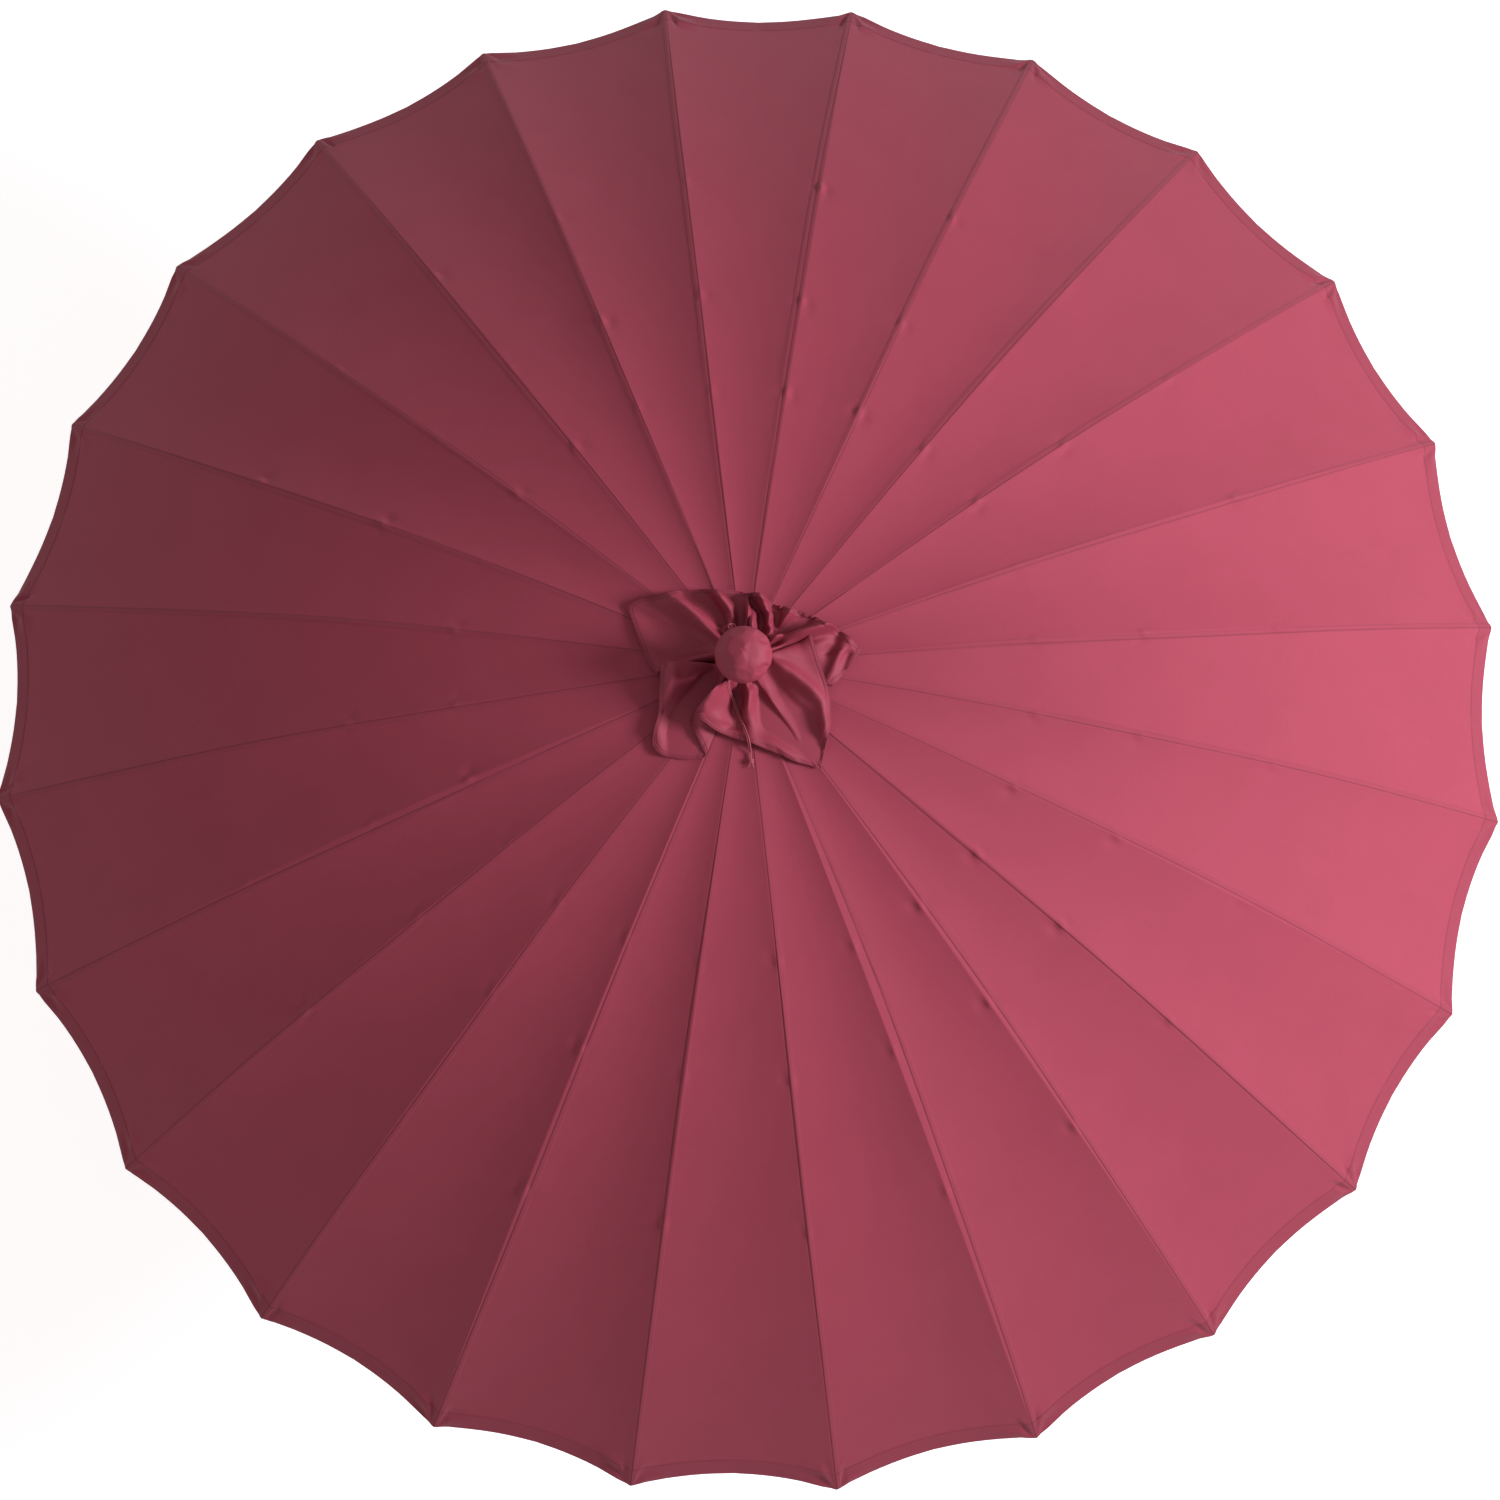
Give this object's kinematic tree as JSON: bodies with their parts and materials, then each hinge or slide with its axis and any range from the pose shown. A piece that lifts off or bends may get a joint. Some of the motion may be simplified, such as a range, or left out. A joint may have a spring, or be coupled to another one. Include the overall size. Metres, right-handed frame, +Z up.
{
  "type": "garden parasol",
  "caption": "Round crank-lift garden parasol with a domed scalloped cloth canopy on bowed ribs and a tied square hood over the ball finial.",
  "frame": {"origin": "centre of the flat underside of the pole's foot plug", "axes": "+Z up along the pole, +X towards the crank, +Y completes a right-handed frame"},
  "size_m": [2.6824, 2.6824, 2.5388],
  "materials": {
    "canopy_cloth": "woven, matt",
    "cord_fibre": "twisted, matt",
    "fibre_rod": "satin glass-fibre rod",
    "stretcher_steel": "satin powder coat",
    "pole_steel": "fine textured powder coat",
    "crank_steel": "powder coat",
    "black_plastic": "moulded, fine texture",
    "turned_wood": "satin"
  },
  "bodies": {
    "lower_pole_body": {"foot_plug": "black_plastic", "lower_pole": "pole_steel"},
    "upper_pole_body": {"upper_pole": "pole_steel", "crank_housing": "black_plastic", "top_hub": "black_plastic", "finial": "turned_wood", "canopy": "canopy_cloth", "top_cap": "canopy_cloth", "cap_cord": "cord_fibre"},
    "runner_body": {"runner": "black_plastic"},
    "crank_body": {"crank_arm": "crank_steel"},
    "knob_body": {"crank_knob": "black_plastic"},
    "rib_01_body": {"rib_01": "fibre_rod"},
    "stretcher_01_body": {"stretcher_01": "stretcher_steel"},
    "rib_02_body": {"rib_02": "fibre_rod"},
    "stretcher_02_body": {"stretcher_02": "stretcher_steel"},
    "rib_03_body": {"rib_03": "fibre_rod"},
    "stretcher_03_body": {"stretcher_03": "stretcher_steel"},
    "rib_04_body": {"rib_04": "fibre_rod"},
    "stretcher_04_body": {"stretcher_04": "stretcher_steel"},
    "rib_05_body": {"rib_05": "fibre_rod"},
    "stretcher_05_body": {"stretcher_05": "stretcher_steel"},
    "rib_06_body": {"rib_06": "fibre_rod"},
    "stretcher_06_body": {"stretcher_06": "stretcher_steel"},
    "rib_07_body": {"rib_07": "fibre_rod"},
    "stretcher_07_body": {"stretcher_07": "stretcher_steel"},
    "rib_08_body": {"rib_08": "fibre_rod"},
    "stretcher_08_body": {"stretcher_08": "stretcher_steel"},
    "rib_09_body": {"rib_09": "fibre_rod"},
    "stretcher_09_body": {"stretcher_09": "stretcher_steel"},
    "rib_10_body": {"rib_10": "fibre_rod"},
    "stretcher_10_body": {"stretcher_10": "stretcher_steel"},
    "rib_11_body": {"rib_11": "fibre_rod"},
    "stretcher_11_body": {"stretcher_11": "stretcher_steel"},
    "rib_12_body": {"rib_12": "fibre_rod"},
    "stretcher_12_body": {"stretcher_12": "stretcher_steel"},
    "rib_13_body": {"rib_13": "fibre_rod"},
    "stretcher_13_body": {"stretcher_13": "stretcher_steel"},
    "rib_14_body": {"rib_14": "fibre_rod"},
    "stretcher_14_body": {"stretcher_14": "stretcher_steel"},
    "rib_15_body": {"rib_15": "fibre_rod"},
    "stretcher_15_body": {"stretcher_15": "stretcher_steel"},
    "rib_16_body": {"rib_16": "fibre_rod"},
    "stretcher_16_body": {"stretcher_16": "stretcher_steel"},
    "rib_17_body": {"rib_17": "fibre_rod"},
    "stretcher_17_body": {"stretcher_17": "stretcher_steel"},
    "rib_18_body": {"rib_18": "fibre_rod"},
    "stretcher_18_body": {"stretcher_18": "stretcher_steel"},
    "rib_19_body": {"rib_19": "fibre_rod"},
    "stretcher_19_body": {"stretcher_19": "stretcher_steel"},
    "rib_20_body": {"rib_20": "fibre_rod"},
    "stretcher_20_body": {"stretcher_20": "stretcher_steel"},
    "rib_21_body": {"rib_21": "fibre_rod"},
    "stretcher_21_body": {"stretcher_21": "stretcher_steel"},
    "rib_22_body": {"rib_22": "fibre_rod"},
    "stretcher_22_body": {"stretcher_22": "stretcher_steel"},
    "rib_23_body": {"rib_23": "fibre_rod"},
    "stretcher_23_body": {"stretcher_23": "stretcher_steel"},
    "rib_24_body": {"rib_24": "fibre_rod"},
    "stretcher_24_body": {"stretcher_24": "stretcher_steel"}
  },
  "joints": [
    {"name": "pole_lift", "type": "slide", "parent": "lower_pole_body", "child": "upper_pole_body", "axis": [0, 0, 1], "range_m": [0, 0.15]},
    {"name": "runner_slide", "type": "slide", "parent": "upper_pole_body", "child": "runner_body", "axis": [0, 0, -1], "range_m": [0, 0.83085], "deforming": ["canopy"]},
    {"name": "crank_turn", "type": "hinge", "parent": "upper_pole_body", "child": "crank_body", "pos_m": [0.063, 0, 0.888], "axis": [1, 0, 0], "range_deg": [0, 2381]},
    {"name": "knob_spin", "type": "hinge", "parent": "crank_body", "child": "knob_body", "pos_m": [0.095, 0, 0.793], "axis": [1, 0, 0], "continuous": true},
    {"name": "rib_01_hinge", "type": "hinge", "parent": "upper_pole_body", "child": "rib_01_body", "pos_m": [-0.00569, 0.04968, 2.397], "axis": [-0.9935, -0.1137, 0], "range_deg": [0, 69.01]},
    {"name": "stretcher_01_pivot", "type": "hinge", "parent": "rib_01_body", "child": "stretcher_01_body", "pos_m": [-0.08095, 0.65001, 2.26711], "axis": [-0.9935, -0.1137, 0], "range_deg": [-121.38, 0]},
    {"name": "rib_02_hinge", "type": "hinge", "parent": "upper_pole_body", "child": "rib_02_body", "pos_m": [0.00737, 0.04945, 2.397], "axis": [-0.9891, 0.1473, 0], "range_deg": [0, 69.01]},
    {"name": "stretcher_02_pivot", "type": "hinge", "parent": "rib_02_body", "child": "stretcher_02_body", "pos_m": [0.09005, 0.64881, 2.26711], "axis": [-0.9891, 0.1473, 0], "range_deg": [-121.38, 0]},
    {"name": "rib_03_hinge", "type": "hinge", "parent": "upper_pole_body", "child": "rib_03_body", "pos_m": [0.01991, 0.04586, 2.397], "axis": [-0.9173, 0.3983, 0], "range_deg": [0, 69.01]},
    {"name": "stretcher_03_pivot", "type": "hinge", "parent": "rib_03_body", "child": "stretcher_03_body", "pos_m": [0.2549, 0.6034, 2.26711], "axis": [-0.9173, 0.3983, 0], "range_deg": [-121.38, 0]},
    {"name": "rib_04_hinge", "type": "hinge", "parent": "upper_pole_body", "child": "rib_04_body", "pos_m": [0.03111, 0.03915, 2.397], "axis": [-0.7829, 0.6221, 0], "range_deg": [0, 69.01]},
    {"name": "stretcher_04_pivot", "type": "hinge", "parent": "rib_04_body", "child": "stretcher_04_body", "pos_m": [0.40239, 0.51687, 2.26711], "axis": [-0.7829, 0.6221, 0], "range_deg": [-121.38, 0]},
    {"name": "rib_05_hinge", "type": "hinge", "parent": "upper_pole_body", "child": "rib_05_body", "pos_m": [0.04018, 0.02976, 2.397], "axis": [-0.5952, 0.8035, 0], "range_deg": [0, 69.01]},
    {"name": "stretcher_05_pivot", "type": "hinge", "parent": "rib_05_body", "child": "stretcher_05_body", "pos_m": [0.52245, 0.39511, 2.26711], "axis": [-0.5952, 0.8035, 0], "range_deg": [-121.38, 0]},
    {"name": "rib_06_hinge", "type": "hinge", "parent": "upper_pole_body", "child": "rib_06_body", "pos_m": [0.04651, 0.01835, 2.397], "axis": [-0.367, 0.9302, 0], "range_deg": [0, 69.01]},
    {"name": "stretcher_06_pivot", "type": "hinge", "parent": "rib_06_body", "child": "stretcher_06_body", "pos_m": [0.60691, 0.24642, 2.26711], "axis": [-0.367, 0.9302, 0], "range_deg": [-121.38, 0]},
    {"name": "rib_07_hinge", "type": "hinge", "parent": "upper_pole_body", "child": "rib_07_body", "pos_m": [0.04968, 0.00569, 2.397], "axis": [-0.1137, 0.9935, 0], "range_deg": [0, 69.01]},
    {"name": "stretcher_07_pivot", "type": "hinge", "parent": "rib_07_body", "child": "stretcher_07_body", "pos_m": [0.65001, 0.08095, 2.26711], "axis": [-0.1137, 0.9935, 0], "range_deg": [-121.38, 0]},
    {"name": "rib_08_hinge", "type": "hinge", "parent": "upper_pole_body", "child": "rib_08_body", "pos_m": [0.04945, -0.00737, 2.397], "axis": [0.1473, 0.9891, 0], "range_deg": [0, 69.01]},
    {"name": "stretcher_08_pivot", "type": "hinge", "parent": "rib_08_body", "child": "stretcher_08_body", "pos_m": [0.64881, -0.09005, 2.26711], "axis": [0.1473, 0.9891, 0], "range_deg": [-121.38, 0]},
    {"name": "rib_09_hinge", "type": "hinge", "parent": "upper_pole_body", "child": "rib_09_body", "pos_m": [0.04586, -0.01991, 2.397], "axis": [0.3983, 0.9173, 0], "range_deg": [0, 69.01]},
    {"name": "stretcher_09_pivot", "type": "hinge", "parent": "rib_09_body", "child": "stretcher_09_body", "pos_m": [0.6034, -0.2549, 2.26711], "axis": [0.3983, 0.9173, 0], "range_deg": [-121.38, 0]},
    {"name": "rib_10_hinge", "type": "hinge", "parent": "upper_pole_body", "child": "rib_10_body", "pos_m": [0.03915, -0.03111, 2.397], "axis": [0.6221, 0.7829, 0], "range_deg": [0, 69.01]},
    {"name": "stretcher_10_pivot", "type": "hinge", "parent": "rib_10_body", "child": "stretcher_10_body", "pos_m": [0.51687, -0.40239, 2.26711], "axis": [0.6221, 0.7829, 0], "range_deg": [-121.38, 0]},
    {"name": "rib_11_hinge", "type": "hinge", "parent": "upper_pole_body", "child": "rib_11_body", "pos_m": [0.02976, -0.04018, 2.397], "axis": [0.8035, 0.5952, 0], "range_deg": [0, 69.01]},
    {"name": "stretcher_11_pivot", "type": "hinge", "parent": "rib_11_body", "child": "stretcher_11_body", "pos_m": [0.39511, -0.52245, 2.26711], "axis": [0.8035, 0.5952, 0], "range_deg": [-121.38, 0]},
    {"name": "rib_12_hinge", "type": "hinge", "parent": "upper_pole_body", "child": "rib_12_body", "pos_m": [0.01835, -0.04651, 2.397], "axis": [0.9302, 0.367, 0], "range_deg": [0, 69.01]},
    {"name": "stretcher_12_pivot", "type": "hinge", "parent": "rib_12_body", "child": "stretcher_12_body", "pos_m": [0.24642, -0.60691, 2.26711], "axis": [0.9302, 0.367, 0], "range_deg": [-121.38, 0]},
    {"name": "rib_13_hinge", "type": "hinge", "parent": "upper_pole_body", "child": "rib_13_body", "pos_m": [0.00569, -0.04968, 2.397], "axis": [0.9935, 0.1137, 0], "range_deg": [0, 69.01]},
    {"name": "stretcher_13_pivot", "type": "hinge", "parent": "rib_13_body", "child": "stretcher_13_body", "pos_m": [0.08095, -0.65001, 2.26711], "axis": [0.9935, 0.1137, 0], "range_deg": [-121.38, 0]},
    {"name": "rib_14_hinge", "type": "hinge", "parent": "upper_pole_body", "child": "rib_14_body", "pos_m": [-0.00737, -0.04945, 2.397], "axis": [0.9891, -0.1473, 0], "range_deg": [0, 69.01]},
    {"name": "stretcher_14_pivot", "type": "hinge", "parent": "rib_14_body", "child": "stretcher_14_body", "pos_m": [-0.09005, -0.64881, 2.26711], "axis": [0.9891, -0.1473, 0], "range_deg": [-121.38, 0]},
    {"name": "rib_15_hinge", "type": "hinge", "parent": "upper_pole_body", "child": "rib_15_body", "pos_m": [-0.01991, -0.04586, 2.397], "axis": [0.9173, -0.3983, 0], "range_deg": [0, 69.01]},
    {"name": "stretcher_15_pivot", "type": "hinge", "parent": "rib_15_body", "child": "stretcher_15_body", "pos_m": [-0.2549, -0.6034, 2.26711], "axis": [0.9173, -0.3983, 0], "range_deg": [-121.38, 0]},
    {"name": "rib_16_hinge", "type": "hinge", "parent": "upper_pole_body", "child": "rib_16_body", "pos_m": [-0.03111, -0.03915, 2.397], "axis": [0.7829, -0.6221, 0], "range_deg": [0, 69.01]},
    {"name": "stretcher_16_pivot", "type": "hinge", "parent": "rib_16_body", "child": "stretcher_16_body", "pos_m": [-0.40239, -0.51687, 2.26711], "axis": [0.7829, -0.6221, 0], "range_deg": [-121.38, 0]},
    {"name": "rib_17_hinge", "type": "hinge", "parent": "upper_pole_body", "child": "rib_17_body", "pos_m": [-0.04018, -0.02976, 2.397], "axis": [0.5952, -0.8035, 0], "range_deg": [0, 69.01]},
    {"name": "stretcher_17_pivot", "type": "hinge", "parent": "rib_17_body", "child": "stretcher_17_body", "pos_m": [-0.52245, -0.39511, 2.26711], "axis": [0.5952, -0.8035, 0], "range_deg": [-121.38, 0]},
    {"name": "rib_18_hinge", "type": "hinge", "parent": "upper_pole_body", "child": "rib_18_body", "pos_m": [-0.04651, -0.01835, 2.397], "axis": [0.367, -0.9302, 0], "range_deg": [0, 69.01]},
    {"name": "stretcher_18_pivot", "type": "hinge", "parent": "rib_18_body", "child": "stretcher_18_body", "pos_m": [-0.60691, -0.24642, 2.26711], "axis": [0.367, -0.9302, 0], "range_deg": [-121.38, 0]},
    {"name": "rib_19_hinge", "type": "hinge", "parent": "upper_pole_body", "child": "rib_19_body", "pos_m": [-0.04968, -0.00569, 2.397], "axis": [0.1137, -0.9935, 0], "range_deg": [0, 69.01]},
    {"name": "stretcher_19_pivot", "type": "hinge", "parent": "rib_19_body", "child": "stretcher_19_body", "pos_m": [-0.65001, -0.08095, 2.26711], "axis": [0.1137, -0.9935, 0], "range_deg": [-121.38, 0]},
    {"name": "rib_20_hinge", "type": "hinge", "parent": "upper_pole_body", "child": "rib_20_body", "pos_m": [-0.04945, 0.00737, 2.397], "axis": [-0.1473, -0.9891, 0], "range_deg": [0, 69.01]},
    {"name": "stretcher_20_pivot", "type": "hinge", "parent": "rib_20_body", "child": "stretcher_20_body", "pos_m": [-0.64881, 0.09005, 2.26711], "axis": [-0.1473, -0.9891, 0], "range_deg": [-121.38, 0]},
    {"name": "rib_21_hinge", "type": "hinge", "parent": "upper_pole_body", "child": "rib_21_body", "pos_m": [-0.04586, 0.01991, 2.397], "axis": [-0.3983, -0.9173, 0], "range_deg": [0, 69.01]},
    {"name": "stretcher_21_pivot", "type": "hinge", "parent": "rib_21_body", "child": "stretcher_21_body", "pos_m": [-0.6034, 0.2549, 2.26711], "axis": [-0.3983, -0.9173, 0], "range_deg": [-121.38, 0]},
    {"name": "rib_22_hinge", "type": "hinge", "parent": "upper_pole_body", "child": "rib_22_body", "pos_m": [-0.03915, 0.03111, 2.397], "axis": [-0.6221, -0.7829, 0], "range_deg": [0, 69.01]},
    {"name": "stretcher_22_pivot", "type": "hinge", "parent": "rib_22_body", "child": "stretcher_22_body", "pos_m": [-0.51687, 0.40239, 2.26711], "axis": [-0.6221, -0.7829, 0], "range_deg": [-121.38, 0]},
    {"name": "rib_23_hinge", "type": "hinge", "parent": "upper_pole_body", "child": "rib_23_body", "pos_m": [-0.02976, 0.04018, 2.397], "axis": [-0.8035, -0.5952, 0], "range_deg": [0, 69.01]},
    {"name": "stretcher_23_pivot", "type": "hinge", "parent": "rib_23_body", "child": "stretcher_23_body", "pos_m": [-0.39511, 0.52245, 2.26711], "axis": [-0.8035, -0.5952, 0], "range_deg": [-121.38, 0]},
    {"name": "rib_24_hinge", "type": "hinge", "parent": "upper_pole_body", "child": "rib_24_body", "pos_m": [-0.01835, 0.04651, 2.397], "axis": [-0.9302, -0.367, 0], "range_deg": [0, 69.01]},
    {"name": "stretcher_24_pivot", "type": "hinge", "parent": "rib_24_body", "child": "stretcher_24_body", "pos_m": [-0.24642, 0.60691, 2.26711], "axis": [-0.9302, -0.367, 0], "range_deg": [-121.38, 0]}
  ],
  "couplings": [
    {"joint": "crank_turn", "follows": "runner_slide", "rad_per_m": 50},
    {"joint": "rib_01_hinge", "follows": "runner_slide", "rad_per_m": 1.4495},
    {"joint": "stretcher_01_pivot", "follows": "runner_slide", "rad_per_m": -2.5495},
    {"joint": "rib_02_hinge", "follows": "runner_slide", "rad_per_m": 1.4495},
    {"joint": "stretcher_02_pivot", "follows": "runner_slide", "rad_per_m": -2.5495},
    {"joint": "rib_03_hinge", "follows": "runner_slide", "rad_per_m": 1.4495},
    {"joint": "stretcher_03_pivot", "follows": "runner_slide", "rad_per_m": -2.5495},
    {"joint": "rib_04_hinge", "follows": "runner_slide", "rad_per_m": 1.4495},
    {"joint": "stretcher_04_pivot", "follows": "runner_slide", "rad_per_m": -2.5495},
    {"joint": "rib_05_hinge", "follows": "runner_slide", "rad_per_m": 1.4495},
    {"joint": "stretcher_05_pivot", "follows": "runner_slide", "rad_per_m": -2.5495},
    {"joint": "rib_06_hinge", "follows": "runner_slide", "rad_per_m": 1.4495},
    {"joint": "stretcher_06_pivot", "follows": "runner_slide", "rad_per_m": -2.5495},
    {"joint": "rib_07_hinge", "follows": "runner_slide", "rad_per_m": 1.4495},
    {"joint": "stretcher_07_pivot", "follows": "runner_slide", "rad_per_m": -2.5495},
    {"joint": "rib_08_hinge", "follows": "runner_slide", "rad_per_m": 1.4495},
    {"joint": "stretcher_08_pivot", "follows": "runner_slide", "rad_per_m": -2.5495},
    {"joint": "rib_09_hinge", "follows": "runner_slide", "rad_per_m": 1.4495},
    {"joint": "stretcher_09_pivot", "follows": "runner_slide", "rad_per_m": -2.5495},
    {"joint": "rib_10_hinge", "follows": "runner_slide", "rad_per_m": 1.4495},
    {"joint": "stretcher_10_pivot", "follows": "runner_slide", "rad_per_m": -2.5495},
    {"joint": "rib_11_hinge", "follows": "runner_slide", "rad_per_m": 1.4495},
    {"joint": "stretcher_11_pivot", "follows": "runner_slide", "rad_per_m": -2.5495},
    {"joint": "rib_12_hinge", "follows": "runner_slide", "rad_per_m": 1.4495},
    {"joint": "stretcher_12_pivot", "follows": "runner_slide", "rad_per_m": -2.5495},
    {"joint": "rib_13_hinge", "follows": "runner_slide", "rad_per_m": 1.4495},
    {"joint": "stretcher_13_pivot", "follows": "runner_slide", "rad_per_m": -2.5495},
    {"joint": "rib_14_hinge", "follows": "runner_slide", "rad_per_m": 1.4495},
    {"joint": "stretcher_14_pivot", "follows": "runner_slide", "rad_per_m": -2.5495},
    {"joint": "rib_15_hinge", "follows": "runner_slide", "rad_per_m": 1.4495},
    {"joint": "stretcher_15_pivot", "follows": "runner_slide", "rad_per_m": -2.5495},
    {"joint": "rib_16_hinge", "follows": "runner_slide", "rad_per_m": 1.4495},
    {"joint": "stretcher_16_pivot", "follows": "runner_slide", "rad_per_m": -2.5495},
    {"joint": "rib_17_hinge", "follows": "runner_slide", "rad_per_m": 1.4495},
    {"joint": "stretcher_17_pivot", "follows": "runner_slide", "rad_per_m": -2.5495},
    {"joint": "rib_18_hinge", "follows": "runner_slide", "rad_per_m": 1.4495},
    {"joint": "stretcher_18_pivot", "follows": "runner_slide", "rad_per_m": -2.5495},
    {"joint": "rib_19_hinge", "follows": "runner_slide", "rad_per_m": 1.4495},
    {"joint": "stretcher_19_pivot", "follows": "runner_slide", "rad_per_m": -2.5495},
    {"joint": "rib_20_hinge", "follows": "runner_slide", "rad_per_m": 1.4495},
    {"joint": "stretcher_20_pivot", "follows": "runner_slide", "rad_per_m": -2.5495},
    {"joint": "rib_21_hinge", "follows": "runner_slide", "rad_per_m": 1.4495},
    {"joint": "stretcher_21_pivot", "follows": "runner_slide", "rad_per_m": -2.5495},
    {"joint": "rib_22_hinge", "follows": "runner_slide", "rad_per_m": 1.4495},
    {"joint": "stretcher_22_pivot", "follows": "runner_slide", "rad_per_m": -2.5495},
    {"joint": "rib_23_hinge", "follows": "runner_slide", "rad_per_m": 1.4495},
    {"joint": "stretcher_23_pivot", "follows": "runner_slide", "rad_per_m": -2.5495},
    {"joint": "rib_24_hinge", "follows": "runner_slide", "rad_per_m": 1.4495},
    {"joint": "stretcher_24_pivot", "follows": "runner_slide", "rad_per_m": -2.5495}
  ]
}
